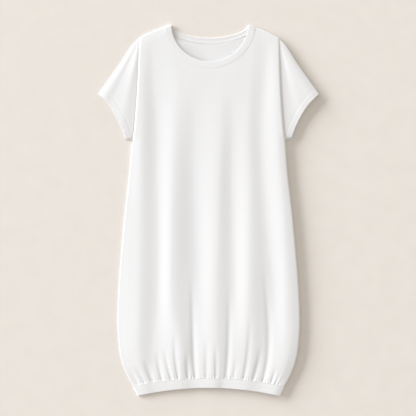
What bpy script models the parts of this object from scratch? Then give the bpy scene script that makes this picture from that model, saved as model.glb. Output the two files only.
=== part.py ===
"""A white jersey T-shirt dress laid flat: two panels with sleeves cut in one, and sewn-on bands.

Metres, +Z up. The dress lies on its back on the plane z = 0, its neck towards +Y and its front
facing up. Places on the cloth are given as x, across the dress from its centre line, and depth,
down from the high point of the shoulder.
"""

import math

import bmesh
import bpy
import numpy as np

MM = 0.001

# Driving dimensions
LENGTH = 0.982  # from the high point of the shoulder to the corner of the hem band
CENTRE_DEPTH = LENGTH / 2  # depth of the frame's origin
WALL = 0.0012  # one layer of jersey
BAND_WALL = 0.002  # a rib band or a turned hem, which is two layers
SEAM_GAP = 0.0003  # between two pieces that are sewn together
NECK_LEAN = 0.0025  # the neckline lies this far right of the centre line
NECK_LEAN_REACH = (0.25, 0.2)  # across and down the dress, where this has faded

NECK_HALF = 0.1014  # half the width of the neck opening
NECK_DROP = {"front": 0.097, "back": 0.0345}
NECK_SEAM_HALF = 0.120  # the same at the band's seam
NECK_SEAM_TOP = 0.007  # depth of the seam where it crosses the shoulder
NECK_SEAM_DROP = {"front": 0.1085, "back": 0.0445}
NECK_ROUNDNESS = {"front": 1.95, "back": 1.80}  # power of the superellipse: 2 is an ellipse
NECK_SEAM_ROUNDNESS = {"front": 1.90, "back": 1.68}

HEM_HALF_TOP = 0.200
HEM_HALF_BOTTOM = 0.188
HEM_TOP_DEPTH = 0.9575  # at the band's ends
HEM_BOTTOM_DEPTH = LENGTH
HEM_RISE = 0.0212  # how far the band arches towards the neck in the middle
RIBS = 96  # across the front of the hem band
RIB_GROOVE = 0.7  # share of the wall that is left in the groove between two ribs

UNDERARM_DEPTH = 0.307
YOKE_DEPTH = 0.095  # where the row of points through the neckline's corners meets the armhole fold
GATHER_ZONE = 0.080  # length of the cloth above the hem band that has the finest points

EDGE_HEIGHT = WALL + SEAM_GAP  # the front's closed edges rest this high, on the back's
LEAST_RISE = 0.0003  # the front lies at least this much higher inside its closed edges
SIDE_ROLL = 0.005  # how far in from a folded side the cloth has risen to its full height
SHOULDER_ROLL = 0.005
CREST_ROLL = 0.006  # the same at the fold where the body stands above the sleeve
EDGE_FALL = 0.001  # the cloth also sinks softly towards a folded edge
EDGE_FALL_REACH = 0.024
LAY_LEAN = 0.0025  # the front lies this much lower at its left side and higher at its right side
LAY_LEAN_REACH = 0.2
LAY_SINK = 0.0011  # how much lower all of it lies than the tables below
SHOULDER_LEVEL = 0.0066  # height of the cloth at the shoulder point
TURN_RADIUS = 0.00035  # of a band's inner face where it turns from the front to the back
TURN_STEPS = 4
FRONT_SECTIONS = 57  # of the neck band
BACK_SECTIONS = 65
HEM_BACK_SECTIONS = 33
OUTLINE_SECTIONS = {"shoulder": 8, "sleeve top": 12, "cuff": 12, "side": 30, "hem": 24, "neck": 81}
BAND_RUN_OUT = 0.010  # length over which a band rises from its turn to its full height
NECK_TURN_SLACK = 0.001  # the neck band turns this far inside the panels' neck corners

# The outline of the right half and the fold at the armhole, each a few points of a smooth curve,
# as place across and depth in millimetres
SHOULDER_LINE = ((120, 7), (151, 18.5), (184, 34.5))
SLEEVE_TOP = ((184, 34.5), (205, 57), (237, 106), (291.5, 183))
ARMHOLE_FOLD = ((184, 34.5), (186.5, 93), (188, 132), (190, 172), (193.5, 225), (198, 278), (202, 307))
CUFF_FRONT = ((291.5, 183), (263, 211), (242, 243), (227, 274), (216.5, 303))
CUFF_BACK = ((291.5, 183), (264, 212), (246, 245), (231, 277), (221, 304))
SIDE_SEAM = (
    (202, 307), (209, 395), (220, 490), (229, 586), (237, 681),
    (241, 777), (238, 843), (230, 890), (214, 932), (200, 957.2),
)

# The front's long folds. Each has its place across the dress and the height of the cloth's
# underside at each of these depths, in millimetres
FOLD_DEPTHS = (40, 140, 250, 410, 545, 755, 875, 940)
FOLDS = (
    # name, places, heights
    ("left side", (-186, -192, -200, -209, -224, -240, -232, -206), (7.4, 7.9, 7.9, 7.4, 7.1, 6.3, 6.6, 6.7)),
    ("left edge", (-170, -178, -180, -180, -181, -184, -184, -172), (7.4, 7.9, 8.2, 8.2, 8.4, 8.8, 8.6, 7.2)),
    ("trough 1", (-152, -146, -138, -138, -136, -139, -148, -150), (7.4, 6.7, 6.0, 6.2, 6.6, 6.9, 7.3, 6.6)),
    ("crest 2", (-97, -78, -86, -94, -97, -94, -74, -80), (7.7, 7.9, 8.0, 8.6, 9.2, 9.7, 9.7, 7.4)),
    ("trough 2", (-44, -30, -36, -38, -34, -34, -40, -43), (7.8, 7.9, 7.0, 5.8, 5.7, 7.0, 7.7, 6.2)),
    ("crest 3", (28, 28, 30, 24, 22, 17, 18, 15), (7.8, 7.9, 8.1, 8.0, 8.4, 9.4, 9.4, 7.4)),
    ("trough 3", (57, 60, 63, 62, 63, 62, 52, 41), (7.8, 7.9, 7.3, 6.0, 6.2, 7.3, 7.9, 6.2)),
    ("crest 4", (107, 104, 102, 107, 108, 105, 102, 98), (7.7, 7.8, 7.9, 7.8, 8.7, 9.6, 9.0, 7.2)),
    ("trough 4", (150, 145, 138, 143, 154, 167, 154, 136), (7.4, 6.8, 6.6, 6.2, 6.4, 6.4, 7.0, 6.3)),
    ("right edge", (172, 181, 184, 193, 203, 211, 206, 184), (7.4, 8.2, 8.6, 8.6, 8.9, 8.7, 8.6, 7.2)),
    ("right side", (188, 193, 201, 210, 224, 240, 233, 207), (7.4, 8.2, 8.4, 8.5, 8.8, 8.2, 7.9, 6.5)),
)
# The sleeves' folds fan out from the shoulder point: share of the way round from the armhole fold
# to the sleeve's top edge, and height on the right and on the left sleeve in millimetres
SLEEVE_FOLDS = (
    (0.00, 6.0, 7.3), (0.24, 5.9, 7.9), (0.45, 6.8, 7.1), (0.62, 7.2, 6.6), (0.84, 7.4, 6.7), (1.00, 6.9, 5.9),
)
SLEEVE_FOLD_REACH = 0.090  # distance from the shoulder point where they are fully formed

# The gathers, from left to right, in millimetres
GATHERS = (
    # place at the hem band, how far the top end leans to the right, length, depth, half width
    (-184, -4, 42, 0.8, 5.6), (-166, -6, 52, 0.9, 6.0), (-144, -3, 64, 1.0, 5.8), (-119, 3, 80, 0.9, 4.4),
    (-95, -5, 84, 0.8, 3.4), (-77, 1, 125, 0.9, 4.2), (-53, 3, 66, 1.0, 3.8), (-34, -4, 280, 1.0, 4.8),
    (-7, 2, 110, 0.7, 4.6), (17, -2, 92, 0.9, 3.8), (42, 2, 240, 0.9, 4.4), (60, 2, 56, 0.5, 3.6),
    (86, 4, 170, 0.9, 4.6), (110, 5, 92, 1.0, 4.2), (136, -12, 300, 0.9, 5.0), (159, -2, 40, 0.8, 3.6),
    (172, -2, 34, 0.5, 3.2), (183, -2, 26, 0.4, 3.0),
)
GATHER_SIDES = (0.85, 1.30)  # a gather is steep on its left side and gentle on its right

# How the panels are divided into points
EDGE_COLUMNS = (0.0, 1.5, 4.0, 8.0, 13.0)  # rows along a folded side, this far in, in millimetres
NECK_CORNER_PLACE = 86  # the gathers' columns at this place run up to the neckline's corners
NECK_CORNER_SHARE = 0.72  # and meet the neck edge at this share of its half width
SHOULDER_ROWS = (0, 0.05, 0.14, 0.28, 0.45, 0.63, 0.81, 1)  # shares, from the shoulder to the yoke
CHEST_ROWS = 9
SKIRT_ROWS = 15
SLEEVE_COLUMNS = 5
GATHER_ROWS = (0, 0.28, 0.50, 0.69, 0.83, 0.93, 1)  # shares of the gather zone, downwards
FINE_STEPS = 2  # in the gather zone, for each step between two columns above it
SAME_ROW = 0.000001  # points this close to a row are on it
MERGE = 0.00002


def smooth_line(points, samples):
    """Points at even steps along a smooth curve (Catmull-Rom) through a few points in millimetres."""
    p = np.array(points, float) * MM
    p = np.vstack((2 * p[0] - p[1], p, 2 * p[-1] - p[-2]))
    t = np.linspace(0, 1, 24, endpoint=False)[:, None]
    spans = []
    for a, b, c, d in zip(p, p[1:], p[2:], p[3:]):
        square, cube = 2 * a - 5 * b + 4 * c - d, 3 * b - a - 3 * c + d
        spans.append(0.5 * (2 * b + (c - a) * t + square * t**2 + cube * t**3))
    return even_steps(np.vstack((*spans, p[-2])), samples)


def arc_length(line):
    """The length along a line of points, from 0 at its first point."""
    return np.concatenate(([0.0], np.cumsum(np.linalg.norm(np.diff(line, axis=0), axis=1))))


def shares_of(line):
    """How far along a line of points each point lies, from 0 to 1."""
    return arc_length(line) / arc_length(line)[-1]


def even_steps(line, samples):
    """A line sampled again at even steps, or at the given shares of its length."""
    shares = np.linspace(0, 1, samples) if np.isscalar(samples) else np.asarray(samples)
    return np.column_stack([np.interp(shares, shares_of(line), part) for part in line.T])


def neck_curve(half, top, drop, power, samples):
    """A neckline from its right end to its left end: a superellipse of this half width and drop."""
    angle = np.linspace(0, math.pi, 257)
    x = half * np.sign(np.cos(angle)) * np.abs(np.cos(angle)) ** (2 / power)
    depth = top + drop * np.abs(np.sin(angle)) ** (2 / power)
    return even_steps(np.column_stack((x, depth)), samples)


def neck_seam(side, samples):
    """The edge of the front or back panel along the neck band."""
    roundness = NECK_SEAM_ROUNDNESS[side]
    return neck_curve(NECK_SEAM_HALF, NECK_SEAM_TOP, NECK_SEAM_DROP[side], roundness, samples)


def hem_row(half, side_depth, shares):
    """A row across the hem, at these shares (-1 to 1) of its half width; it arches up in the middle."""
    return np.column_stack((half * shares, side_depth - HEM_RISE * (1 - shares**2)))


def away_from(points, line):
    """The distance of each point from the nearest place on a line of points."""
    a, b = line[:-1], line[1:]
    span = b - a
    share = np.einsum("nsk,sk->ns", points[:, None] - a, span) / np.einsum("sk,sk->s", span, span)
    nearest = a + np.clip(share, 0, 1)[..., None] * span
    return np.linalg.norm(points[:, None] - nearest, axis=2).min(1)


def rolled(distance, reach):
    """How far cloth has risen beside a folded edge: a quarter of an ellipse, from 0 at the edge to 1."""
    return np.sqrt(1 - (1 - np.clip(distance / reach, 0, 1)) ** 2)


def eased(share):
    """0 below 0 and 1 above 1, with a smooth rise between."""
    share = np.clip(share, 0, 1)
    return share * share * (3 - 2 * share)


def through(marks, values, at):
    """A smooth function through a table of marks and values: a cubic between each two marks."""
    marks, values = np.array(marks), np.array(values)
    slopes = np.gradient(values, marks)
    k = np.clip(np.searchsorted(marks, at) - 1, 0, len(marks) - 2)
    step = marks[k + 1] - marks[k]
    t = np.clip((at - marks[k]) / step, 0, 1)
    start = (2 * t**3 - 3 * t**2 + 1) * values[k] + (t**3 - 2 * t**2 + t) * step * slopes[k]
    return start + (3 * t**2 - 2 * t**3) * values[k + 1] + (t**3 - t**2) * step * slopes[k + 1]


def body_level(points):
    """The height of the body's cloth over its long folds: a smooth wave through crests and troughs."""
    x, depth = points[:, 0], points[:, 1] / MM
    places = [through(FOLD_DEPTHS, place, depth) * MM for _, place, _ in FOLDS]
    levels = [through(FOLD_DEPTHS, level, depth) * MM for _, _, level in FOLDS]
    height = levels[0]
    for a, b, here, beyond in zip(places, places[1:], levels, levels[1:]):
        height = height + (beyond - here) * eased((x - a) / (b - a))
    return height


def sleeve_level(points, on_left):
    """The height of a sleeve's cloth over the folds that fan out from the shoulder point."""
    shoulder = np.array(SLEEVE_TOP[0]) * MM
    reach = points - shoulder
    angle = np.arctan2(reach[:, 0], reach[:, 1])
    low, high = (math.atan2(*(np.array(end) * MM - shoulder)) for end in (ARMHOLE_FOLD[-1], SLEEVE_TOP[-1]))
    at = np.clip((angle - low) / (high - low), 0, 1)
    shares, right, left = np.array(SLEEVE_FOLDS).T
    level = np.where(on_left, through(shares, left, at), through(shares, right, at)) * MM
    formed = eased(np.linalg.norm(reach, axis=1) / SLEEVE_FOLD_REACH)
    return SHOULDER_LEVEL + (level - SHOULDER_LEVEL) * formed


def gather_relief(points):
    """How far the gathers sink the cloth: soft grooves that fan out with the skirt and fade upwards."""
    half = np.interp(points[:, 1], SIDE_LINE[:, 1], SIDE_LINE[:, 0])
    at_band = points[:, 0] / half * HEM_HALF_TOP
    above = np.clip(HEM_TOP_DEPTH - HEM_RISE * (1 - (points[:, 0] / half) ** 2) - points[:, 1], 0, None)
    relief = np.zeros(len(points))
    for place, lean, length, depth, half_width in np.array(GATHERS) * MM:
        share = above / length
        beside = at_band - place - lean * share
        width = half_width * np.where(beside < 0, *GATHER_SIDES)
        relief += depth * np.exp(-math.log(2) * (beside / width) ** 2) * np.clip(1 - share**2, 0, 1)
    return relief


def lay(points, to_edge):
    """How much the front is raised: it leans to the right and sinks softly towards a folded edge."""
    lean = LAY_LEAN * np.clip(points[:, 0] / LAY_LEAN_REACH, -1, 1) - LAY_SINK
    return lean - EDGE_FALL * np.clip(1 - to_edge / EDGE_FALL_REACH, 0, 1) ** 2


SIDE_LINE = smooth_line(SIDE_SEAM, 200)
FOLD_LINE = smooth_line(ARMHOLE_FOLD, 60)
TOP_EDGE = np.vstack((smooth_line(SHOULDER_LINE, 10), smooth_line(SLEEVE_TOP, 20)[1:]))
SIDE_EDGE = np.vstack((np.array(CUFF_FRONT[-1:]) * MM, smooth_line(SIDE_SEAM, 50)))


def front_height(points):
    """The height of the front's underside above the floor at places (x, depth) on the dress."""
    right = np.column_stack((np.abs(points[:, 0]), points[:, 1]))
    below_arm = right[:, 1] >= UNDERARM_DEPTH
    in_sleeve = (right[:, 0] > np.interp(right[:, 1], FOLD_LINE[:, 1], FOLD_LINE[:, 0])) & ~below_arm
    risen = rolled(away_from(right, FOLD_LINE), CREST_ROLL)
    crest = np.where(in_sleeve, 0.0, np.where(below_arm, 1.0, risen))
    sleeve, body = sleeve_level(right, points[:, 0] < 0), body_level(points) - gather_relief(points)
    from_top, from_side = away_from(right, TOP_EDGE), away_from(right, SIDE_EDGE)
    level = sleeve + (body - sleeve) * crest + lay(points, np.minimum(from_top, from_side))
    edges = rolled(from_top, SHOULDER_ROLL) * rolled(from_side, SIDE_ROLL)
    return EDGE_HEIGHT + np.maximum(level - EDGE_HEIGHT, LEAST_RISE) * edges


def in_frame(points, height):
    """Places (x, depth) and heights as points of the part's frame; the neckline leans to the right."""
    x, depth = points[:, 0], points[:, 1]
    across, down = NECK_LEAN_REACH
    lean = NECK_LEAN * np.exp(-((depth / down) ** 2)) * np.clip(1 - (x / across) ** 2, 0, 1)
    return np.column_stack((x + lean, CENTRE_DEPTH - depth, height + np.zeros(len(points))))


def between(top, bottom, left, right):
    """A grid of places between four edges (a Coons patch), its rows from top to bottom."""
    u = 0.5 * (shares_of(top) + shares_of(bottom))[None, :, None]
    v = 0.5 * (shares_of(left) + shares_of(right))[:, None, None]
    ruled = (1 - v) * top + v * bottom + (1 - u) * left[:, None] + u * right[:, None]
    corners = (1 - v) * ((1 - u) * top[0] + u * top[-1]) + v * ((1 - u) * bottom[0] + u * bottom[-1])
    return ruled - corners


def add_patch(bm, grid):
    """Adds a grid of places to a mesh in plan, shaped from a flat grid of quads."""
    rows, columns = grid.shape[:2]
    made = bmesh.ops.create_grid(bm, x_segments=columns - 1, y_segments=rows - 1, size=0.5)["verts"]
    for vert in made:
        row = round((0.5 - vert.co.y) * (rows - 1))
        column = round((vert.co.x + 0.5) * (columns - 1))
        vert.co = (*grid[row, column], 0.0)


def add_both_sides(bm, grid):
    """Adds a patch of the right half and its mirror image on the left."""
    add_patch(bm, grid)
    add_patch(bm, (grid * (-1.0, 1.0))[:, ::-1])


def column_shares(half):
    """Where the long rows of points cross a row of this half width: along the gathers, the crests
    between them and the folded sides."""
    gathers = np.array([row[0] for row in GATHERS]) * MM / HEM_HALF_TOP
    inner = np.interp(np.arange(0, len(gathers) - 0.5, 0.5), np.arange(len(gathers)), gathers)
    sides = 1 - np.array(EDGE_COLUMNS) * MM / half
    return np.concatenate((-sides, inner, sides[::-1]))


def with_finer_steps(row):
    """A row of points with each step between its gathers and crests split into straight ones."""
    edge, last = len(EDGE_COLUMNS), len(row) - len(EDGE_COLUMNS) - 1
    inner = np.arange(edge, last, 1 / FINE_STEPS)
    at = np.concatenate((np.arange(edge), inner, np.arange(last, len(row))))
    return np.column_stack([np.interp(at, np.arange(len(row)), part) for part in row.T])


def front_neck_points(base_columns):
    """The front's neck edge as points: down its right side, and across its base from left to right."""
    seam = neck_seam("front", 2001)
    turn = int(np.argmax(seam[:, 0] < NECK_CORNER_SHARE * NECK_SEAM_HALF))
    neck_side = even_steps(seam[: turn + 1], SHOULDER_ROWS)
    neck_base = even_steps(seam[turn : len(seam) - turn][::-1], base_columns + 1)
    return neck_side, neck_base


def neck_corner(columns):
    """Which of the long rows of points runs up to the neckline's right corner."""
    return int(np.argmin(np.abs(columns * HEM_HALF_TOP - NECK_CORNER_PLACE * MM)))


def upper_plan(bm, columns):
    """The shoulders and the chest in plan, down to the underarm row. Gives back the chest's side."""
    underarm = np.column_stack((columns * SIDE_SEAM[0][0] * MM, np.full(len(columns), UNDERARM_DEPTH)))
    outer = columns[neck_corner(columns) :]
    outer_shares = (outer - outer[0]) / (1 - outer[0])
    neck_side, neck_base = front_neck_points(len(columns) - 2 * len(outer) + 1)
    fold = smooth_line(ARMHOLE_FOLD, 800)
    yoke = int(np.argmax(fold[:, 1] > YOKE_DEPTH))
    fold_upper = even_steps(fold[: yoke + 1], SHOULDER_ROWS)
    fold_lower = even_steps(fold[yoke:], CHEST_ROWS + 1)
    shoulder = smooth_line(SHOULDER_LINE, outer_shares)
    yoke_row = even_steps(np.vstack((neck_side[-1], fold_upper[-1])), outer_shares)
    add_both_sides(bm, between(shoulder, yoke_row, neck_side, fold_upper))
    chest_top = np.vstack(((yoke_row * (-1.0, 1.0))[::-1], neck_base[1:-1], yoke_row))
    add_patch(bm, between(chest_top, underarm, fold_lower * (-1.0, 1.0), fold_lower))
    return underarm, np.vstack((fold_upper, fold_lower[1:]))


def sleeve_plan(bm, fold_side):
    """Both sleeves in plan, between the armhole fold and the cuff."""
    cuff = smooth_line(CUFF_FRONT, shares_of(fold_side))
    sleeve_top = smooth_line(SLEEVE_TOP, SLEEVE_COLUMNS + 1)
    sleeve_base = even_steps(np.vstack((fold_side[-1], cuff[-1])), SLEEVE_COLUMNS + 1)
    add_both_sides(bm, between(sleeve_top, sleeve_base, fold_side, cuff))


def skirt_plan(bm, underarm):
    """The skirt in plan, and the gather zone with its finer points."""
    side = smooth_line(SIDE_SEAM, 1600)
    start = int(np.argmax(side[:, 1] > side[-1, 1] - GATHER_ZONE))
    skirt_side = even_steps(side[: start + 1], SKIRT_ROWS + 1)
    gather_side = even_steps(side[start:], GATHER_ROWS)
    half, depth = skirt_side[-1]
    skirt_base = hem_row(half, depth, column_shares(half))
    add_patch(bm, between(underarm, skirt_base, skirt_side * (-1.0, 1.0), skirt_side))
    last_row = [edge for edge in bm.edges if all(on_row(vert, half, depth) for vert in edge.verts)]
    inner = [edge for edge in last_row if between_gathers(edge, half)]
    bmesh.ops.subdivide_edges(bm, edges=inner, cuts=FINE_STEPS - 1, use_single_edge=True)
    fine_shares = with_finer_steps(column_shares(gather_side[-1, 0])[:, None])[:, 0]
    fine_base = hem_row(*gather_side[-1], fine_shares)
    add_patch(bm, between(with_finer_steps(skirt_base), fine_base, gather_side * (-1.0, 1.0), gather_side))


def front_plan():
    """The front panel in plan, its patches merged along their common rows."""
    bm = bmesh.new()
    underarm, fold_side = upper_plan(bm, column_shares(SIDE_SEAM[0][0] * MM))
    sleeve_plan(bm, fold_side)
    skirt_plan(bm, underarm)
    bmesh.ops.remove_doubles(bm, verts=bm.verts, dist=MERGE)
    return bm


def on_row(vert, half, depth):
    """Whether a point lies on the row where the finer points begin."""
    share = vert.co.x / half
    return abs(vert.co.y - (depth - HEM_RISE * (1 - share**2))) < SAME_ROW


def between_gathers(edge, half):
    """Whether an edge of that row lies between two gathers, and not in a folded side."""
    middle = (edge.verts[0].co.x + edge.verts[1].co.x) / 2 / half * HEM_HALF_TOP
    return GATHERS[0][0] * MM < middle < GATHERS[-1][0] * MM


def cloth(name, colour, roughness):
    """A plain knitted cotton as a material."""
    material = bpy.data.materials.new(name)
    material.use_nodes = True
    shader = material.node_tree.nodes["Principled BSDF"]
    shader.inputs["Base Color"].default_value = (*colour, 1.0)
    shader.inputs["Roughness"].default_value = roughness
    shader.inputs["Metallic"].default_value = 0.0
    return material


def add_object(name, data, material, collection):
    """Puts a finished mesh or curve into the dress's collection."""
    data.materials.append(material)
    thing = bpy.data.objects.new(name, data)
    collection.objects.link(thing)
    return thing


def add_wall(thing, thickness):
    """Gives an open surface its thickness, on its outer side."""
    wall = thing.modifiers.new("Wall", "SOLIDIFY")
    wall.thickness = thickness
    wall.offset = 1.0
    wall.use_even_offset = True
    return wall


def make_front(collection):
    """The front, with the front halves of both sleeves cut in one with it."""
    bm = front_plan()
    places = np.array([vert.co[:2] for vert in bm.verts])
    for vert, point in zip(bm.verts, in_frame(places, front_height(places))):
        vert.co = point
    bmesh.ops.triangulate(bm, faces=[face for face in bm.faces if len(face.verts) > 4])
    mesh = bpy.data.meshes.new("front_panel")
    bm.to_mesh(mesh)
    bm.free()
    mesh.shade_smooth()
    panel = add_object("front_panel", mesh, cloth("front_jersey", (0.80, 0.79, 0.78), 0.85), collection)
    add_wall(panel, WALL)


def make_back(collection):
    """The back, cut to the same outline with a higher neckline, flat on the floor."""
    count = OUTLINE_SECTIONS
    shoulder = smooth_line(SHOULDER_LINE, count["shoulder"])
    sleeve_top = smooth_line(SLEEVE_TOP, count["sleeve top"])
    cuff = smooth_line(CUFF_BACK, count["cuff"])
    side = smooth_line(SIDE_SEAM, count["side"])
    right = np.vstack((shoulder, sleeve_top[1:], cuff[1:], side))
    hem = hem_row(*side[-1], np.linspace(1, -1, count["hem"]))
    left = (right * (-1.0, 1.0))[::-1]
    neck = neck_seam("back", count["neck"])[::-1]
    outline = np.vstack((right, hem[1:], left[1:], neck[1:-1]))
    curve = bpy.data.curves.new("back_panel", "CURVE")
    curve.dimensions = "2D"
    curve.fill_mode = "BOTH"
    curve.extrude = WALL / 2
    spline = curve.splines.new("POLY")
    spline.points.add(len(outline) - 1)
    for point, place in zip(spline.points, in_frame(outline, 0.0)):
        point.co = (*place, 1.0)
    spline.use_cyclic_u = True
    panel = add_object("back_panel", curve, cloth("back_jersey", (0.78, 0.77, 0.76), 0.85), collection)
    panel.location.z = WALL / 2


def ring_path(front, back, front_heights, outward):
    """The inner face of one edge of a band, as a closed path: along the front, round a turn, back
    below it and round again.

    The front runs from right to left and the back from left to right, and both end at the same two
    places in plan. The directions outward are those in which the band turns at its right and left end.
    """
    angle = math.pi * np.arange(1, TURN_STEPS + 1) / (TURN_STEPS + 1)
    sideways = TURN_RADIUS * np.sin(angle)[:, None]
    heights = BAND_WALL + TURN_RADIUS * (1 + np.cos(angle))
    right, left = (in_frame(end + sideways * way, heights) for end, way in zip((front[0], front[-1]), outward))
    return np.vstack((in_frame(front, front_heights), left, in_frame(back, BAND_WALL), right[::-1]))


def make_band(name, upper, lower, wall_shares, material, collection):
    """A band as a ring of wall on the paths of its edge nearer the neck and its edge nearer the hem."""
    count = len(upper)
    bm = bmesh.new()
    bmesh.ops.create_grid(bm, x_segments=count, y_segments=1, size=0.5)
    weight = bm.verts.layers.deform.verify()
    for vert in bm.verts:
        section = round((vert.co.x + 0.5) * count) % count
        vert[weight][0] = wall_shares[section]
        vert.co = upper[section] if vert.co.y < 0 else lower[section]
    bmesh.ops.remove_doubles(bm, verts=bm.verts, dist=MERGE)
    mesh = bpy.data.meshes.new(name)
    bm.to_mesh(mesh)
    bm.free()
    mesh.shade_smooth()
    band = add_object(name, mesh, material, collection)
    band.vertex_groups.new(name="full wall")
    wall = add_wall(band, BAND_WALL)
    wall.vertex_group = "full wall"
    wall.thickness_vertex_group = RIB_GROOVE


def raised(level, path):
    """The heights of a band's front: from its turns at both ends it rises to this level."""
    turned = BAND_WALL + 2 * TURN_RADIUS
    along = arc_length(path)
    risen = eased(np.minimum(along, along[-1] - along) / BAND_RUN_OUT)
    return turned + np.maximum(level - turned, 0) * risen


def beside_seam(panel_edge, samples):
    """A line inside a panel's neck edge, a seam's gap from it, between the band's two turns."""
    along = np.gradient(panel_edge, axis=0)
    inward = np.column_stack((-along[:, 1], along[:, 0])) / np.linalg.norm(along, axis=1)[:, None]
    line = panel_edge + SEAM_GAP * inward
    end = np.array((NECK_SEAM_HALF - NECK_TURN_SLACK, NECK_SEAM_TOP + TURN_RADIUS + BAND_WALL))
    middle = line[line[:, 1] > end[1] + SEAM_GAP]
    return even_steps(np.vstack((end, middle, end * (-1.0, 1.0))), samples)


def make_neck_band(collection):
    """The neck band, a ring with its front half above its back half."""
    inset = TURN_RADIUS + BAND_WALL
    front_drop, back_drop = NECK_DROP["front"] - inset, NECK_DROP["back"] - inset
    front_free = neck_curve(NECK_HALF, inset, front_drop, NECK_ROUNDNESS["front"], FRONT_SECTIONS)
    back_free = neck_curve(NECK_HALF, inset, back_drop, NECK_ROUNDNESS["back"], BACK_SECTIONS)[::-1]
    columns = column_shares(HEM_HALF_TOP)
    neck_side, neck_base = front_neck_points(2 * neck_corner(columns) - len(columns) + 1)
    edge = np.vstack((neck_side, neck_base[::-1][1:-1], (neck_side * (-1.0, 1.0))[::-1]))
    front_seam = beside_seam(even_steps(edge, 401), FRONT_SECTIONS)
    back_seam = beside_seam(neck_seam("back", 401), BACK_SECTIONS)[::-1]
    beside = front_height(front_seam + (0.0, SHOULDER_ROLL)) + WALL - BAND_WALL
    heights = raised(beside, front_free)
    upwards = np.array(((0.0, -1.0), (0.0, -1.0)))
    free = ring_path(front_free, back_free, heights, upwards)
    seam = ring_path(front_seam, back_seam, heights, upwards)
    material = cloth("neck_rib", (0.82, 0.81, 0.80), 0.8)
    make_band("neck_band", free, seam, np.ones(len(free)), material, collection)


def make_hem_band(collection):
    """The ribbed hem band, a ring with its front half above its back half."""
    inset = TURN_RADIUS + BAND_WALL
    across = np.linspace(1, -1, 2 * RIBS + 1)
    back_across = np.linspace(-1, 1, HEM_BACK_SECTIONS)
    seam_size = (HEM_HALF_TOP - inset, HEM_TOP_DEPTH + SEAM_GAP)
    free_size = (HEM_HALF_BOTTOM - inset, HEM_BOTTOM_DEPTH)
    front_seam = hem_row(*seam_size, across)
    from_side = HEM_HALF_TOP - np.abs(front_seam[:, 0])
    beside = body_level(front_seam) + lay(front_seam, from_side) + WALL - BAND_WALL
    heights = raised(beside, front_seam)
    sideways = np.array(((1.0, 0.0), (-1.0, 0.0)))
    seam = ring_path(front_seam, hem_row(*seam_size, back_across), heights, sideways)
    free = ring_path(hem_row(*free_size, across), hem_row(*free_size, back_across), heights, sideways)
    ribs = np.ones(len(seam))
    ribs[1 : 2 * RIBS : 2] = 0.0
    make_band("hem_band", seam, free, ribs, cloth("hem_rib", (0.80, 0.79, 0.78), 0.85), collection)


def main():
    for thing in list(bpy.data.objects):
        bpy.data.objects.remove(thing)
    collection = bpy.data.collections.new("tshirt_dress")
    bpy.context.scene.collection.children.link(collection)
    make_front(collection)
    make_back(collection)
    make_neck_band(collection)
    make_hem_band(collection)


main()
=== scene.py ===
# %% [markdown]
# # A white jersey T-shirt dress, laid flat
# The dress lies on its back on a plain surface and is seen from straight above. It is cut from two
# panels of cotton jersey, a front and a back, whose short sleeves are cut in one with the body. A
# doubled rib band finishes the neck, and another one gathers the wide skirt in at the hem.
# A packed model of plain solids is loaded first. It fixes the size and place of each piece, and
# each cloth piece below is a finer surface on the same form.

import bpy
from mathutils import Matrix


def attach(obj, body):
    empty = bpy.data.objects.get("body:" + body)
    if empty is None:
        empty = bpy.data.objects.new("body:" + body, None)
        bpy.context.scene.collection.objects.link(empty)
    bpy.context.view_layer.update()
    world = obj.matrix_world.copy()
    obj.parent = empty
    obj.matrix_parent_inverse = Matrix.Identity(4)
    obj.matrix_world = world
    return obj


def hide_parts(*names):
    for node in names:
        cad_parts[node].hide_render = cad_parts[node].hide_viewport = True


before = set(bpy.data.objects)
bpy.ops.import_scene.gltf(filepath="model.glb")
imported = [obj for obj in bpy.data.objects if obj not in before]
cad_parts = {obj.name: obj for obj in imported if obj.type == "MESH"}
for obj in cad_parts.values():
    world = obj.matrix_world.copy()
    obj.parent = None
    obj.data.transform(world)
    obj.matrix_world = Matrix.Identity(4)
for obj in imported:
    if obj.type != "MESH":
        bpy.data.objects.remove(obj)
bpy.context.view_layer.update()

# %% [markdown]
# ## Sizes
# Places on the cloth are pairs of numbers in metres: how far across from the centre line, and how
# deep below the high point of the shoulder. A dress is measured like this on a cutting table, so
# each number below can be checked with a tape. Rows of small tables are in millimetres.

# %% Named sizes
import math

import bpy
import numpy as np
from mathutils import Vector

MM = 0.001
LENGTH = 0.982
CENTRE_DEPTH = LENGTH / 2
CLOTH = 0.0008  # one layer of jersey
BAND = 0.0015  # a rib band, which is two layers
PANEL_WALL = 0.0012  # the solids' wall, on whose outer side the front's cloth lies
NECK_LEAN, NECK_LEAN_DEPTH, NECK_LEAN_HALF = 0.0025, 0.2, 0.25  # the neck leans to the right
NECK_BAND_WIDTH, HEM_BAND_WIDTH = 0.016, 0.0245
SLEEVE_HEM, HEM_TAPER = 0.017, 0.003  # the turned hem, and how much narrower it is at the underarm

NECK_HALF = 0.1014
NECK_DROP = {"front": 0.097, "back": 0.0345}
NECK_ROUNDNESS = {"front": 1.95, "back": 1.80}
NECK_SEAM_HALF, NECK_SEAM_TOP = 0.120, 0.007
NECK_SEAM_DROP = {"front": 0.1085, "back": 0.0445}
NECK_SEAM_ROUNDNESS = {"front": 1.90, "back": 1.68}

HEM_HALF_TOP, HEM_HALF_BOTTOM = 0.200, 0.188
HEM_TOP_DEPTH, HEM_BOTTOM_DEPTH, HEM_RISE = 0.9575, LENGTH, 0.0212
UNDERARM_DEPTH, YOKE_DEPTH, GATHER_ZONE = 0.307, 0.095, 0.110

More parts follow.
